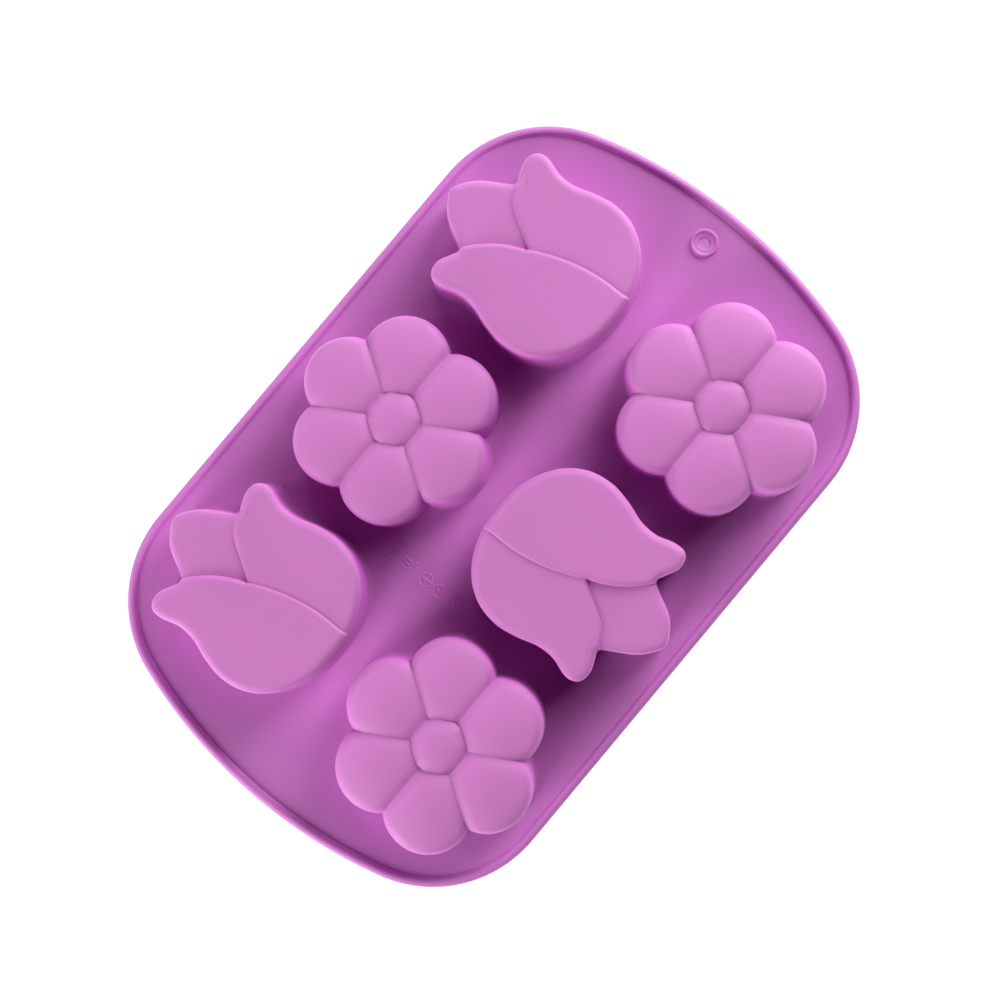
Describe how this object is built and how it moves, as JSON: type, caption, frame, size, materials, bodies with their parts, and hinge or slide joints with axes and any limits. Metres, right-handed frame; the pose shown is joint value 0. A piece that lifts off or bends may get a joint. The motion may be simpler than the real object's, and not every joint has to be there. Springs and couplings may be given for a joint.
{
  "type": "silicone soap mould",
  "caption": "Flexible silicone soap mould lying upside down: hollow tulip and flower cups standing up from a flat deck with a rounded rim and a hang hole.",
  "frame": {"origin": "centre of the outline, on the plane of the rim bead's resting face", "axes": "+X along the mould towards the hang hole, +Y towards the row with two tulips, +Z out through the bottoms of the cups"},
  "size_m": [0.265, 0.174, 0.025],
  "materials": {
    "silicone": "matt orchid-purple silicone with a faint satin sheen"
  },
  "bodies": {
    "root": {"deck": "silicone", "rim_bead": "silicone", "tulip_cup_1": "silicone", "tulip_cup_2": "silicone", "tulip_cup_3": "silicone", "flower_cup_1": "silicone", "flower_cup_2": "silicone", "flower_cup_3": "silicone", "hang_boss": "silicone", "care_marks": "silicone"}
  },
  "joints": []
}
